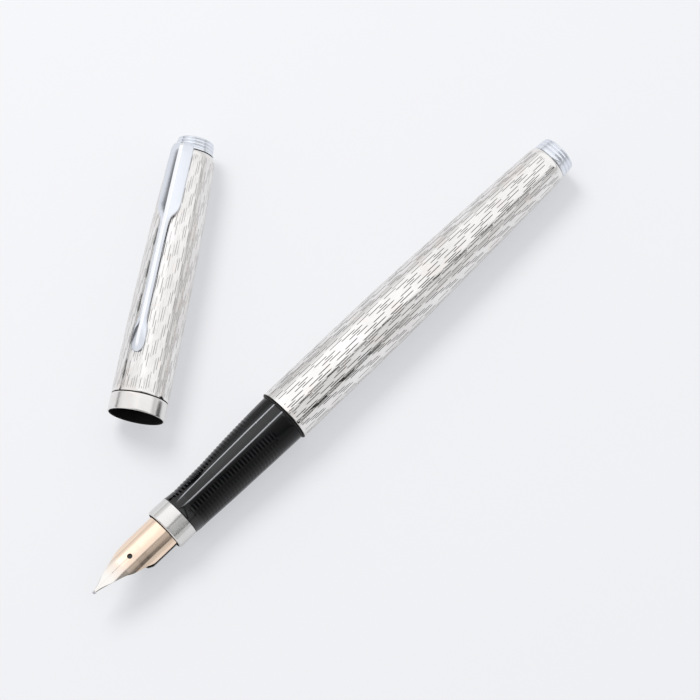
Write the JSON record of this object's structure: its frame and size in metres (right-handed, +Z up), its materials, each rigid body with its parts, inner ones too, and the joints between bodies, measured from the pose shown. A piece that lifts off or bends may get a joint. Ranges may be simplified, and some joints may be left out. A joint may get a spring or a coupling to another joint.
{
  "type": "fountain pen",
  "caption": "Slim metal fountain pen lying uncapped beside its clip cap: gold nib, faceted black grip, engraved silver barrel, piston converter inside.",
  "frame": {"origin": "bottom centre of the bounding box of the pen and its cap as they lie", "axes": "+X along the pen from nib to tail, +Z up; the cap lies on the +Y side"},
  "size_m": [0.1184, 0.057, 0.0111],
  "materials": {
    "engraved_silver": "polished warm silver with fine interrupted lengthwise engraving",
    "trim_chrome": "polished bluish chrome",
    "brushed_ring": "brushed round the ring",
    "black_gloss": "deep gloss black moulding",
    "black_feed": "satin black",
    "black_rubber": "dull black",
    "inner_brass": "turned brass",
    "nib_gold": "polished gold",
    "nib_point": "polished hard white metal",
    "grey_plastic": "satin moulded grey",
    "clear_tube": "clear, polished",
    "spring_steel": "plain drawn steel"
  },
  "bodies": {
    "grip": {"grip_section": "black_gloss", "index_ring": "brushed_ring", "grip_gasket": "black_rubber", "section_connector": "inner_brass", "ink_collector": "black_feed", "feed_nipple": "black_feed"},
    "nib_mount": {"nib_collar": "black_feed"},
    "nib_unit": {"nib": "nib_gold", "nib_tipping": "nib_point", "feed": "black_feed"},
    "converter": {"converter_mouthpiece": "grey_plastic", "converter_tube": "clear_tube", "converter_sleeve": "trim_chrome", "converter_end_collar": "trim_chrome"},
    "converter_turner": {"converter_knob": "black_gloss", "converter_screw": "grey_plastic"},
    "piston": {"piston_seal": "black_rubber", "piston_rod": "grey_plastic"},
    "steady_ring": {"converter_steady_ring": "black_rubber"},
    "barrel_thread": {"barrel_bushing": "inner_brass"},
    "barrel": {"barrel_shell": "engraved_silver", "barrel_end_button": "trim_chrome", "barrel_end_nut": "inner_brass"},
    "cap": {"cap_shell": "engraved_silver", "inner_cap": "grey_plastic", "cap_clutch_spring": "spring_steel", "cap_nut": "inner_brass", "clip_washer": "black_rubber", "clip_ring": "trim_chrome", "cap_top_button": "trim_chrome"},
    "clip": {"clip": "trim_chrome"}
  },
  "joints": [
    {"name": "cap_push", "type": "slide", "parent": "grip", "child": "steady_ring", "axis": [1, 0, 0], "range_m": [0, 0.05158]},
    {"name": "cap_swing", "type": "hinge", "parent": "steady_ring", "child": "cap", "pos_m": [-0.04477, -0.01883, 0.00531], "axis": [0, 0, 1], "range_deg": [0, 145.7]},
    {"name": "clip_flex", "type": "hinge", "parent": "cap", "child": "clip", "pos_m": [0.01018, 0.02549, 0.00888], "axis": [-0.5295, 0.7763, -0.342], "range_deg": [0, 3], "stiffness_Nm_per_rad": 0.5},
    {"name": "barrel_pull", "type": "slide", "parent": "grip", "child": "barrel_thread", "axis": [1, 0, 0], "range_m": [0, 0.06]},
    {"name": "barrel_unscrew", "type": "hinge", "parent": "barrel_thread", "child": "barrel", "pos_m": [-0.0422, -0.02319, 0.00531], "axis": [1, 0, 0], "continuous": true},
    {"name": "converter_pull", "type": "slide", "parent": "grip", "child": "converter", "axis": [1, 0, 0], "range_m": [0, 0.0065]},
    {"name": "knob_turn", "type": "hinge", "parent": "converter", "child": "converter_turner", "pos_m": [-0.0422, -0.02319, 0.00531], "axis": [1, 0, 0], "range_deg": [-1, 2041]},
    {"name": "piston_travel", "type": "slide", "parent": "converter", "child": "piston", "axis": [1, 0, 0], "range_m": [-0.017, 0]},
    {"name": "nib_pull", "type": "slide", "parent": "grip", "child": "nib_mount", "axis": [1, 0, 0], "range_m": [-0.025, 0]},
    {"name": "nib_turn", "type": "hinge", "parent": "nib_mount", "child": "nib_unit", "pos_m": [-0.0422, -0.02319, 0.00531], "axis": [1, 0, 0], "range_deg": [-45, 45]}
  ],
  "couplings": [
    {"joint": "knob_turn", "follows": "piston_travel", "rad_per_m": -2094.4}
  ]
}
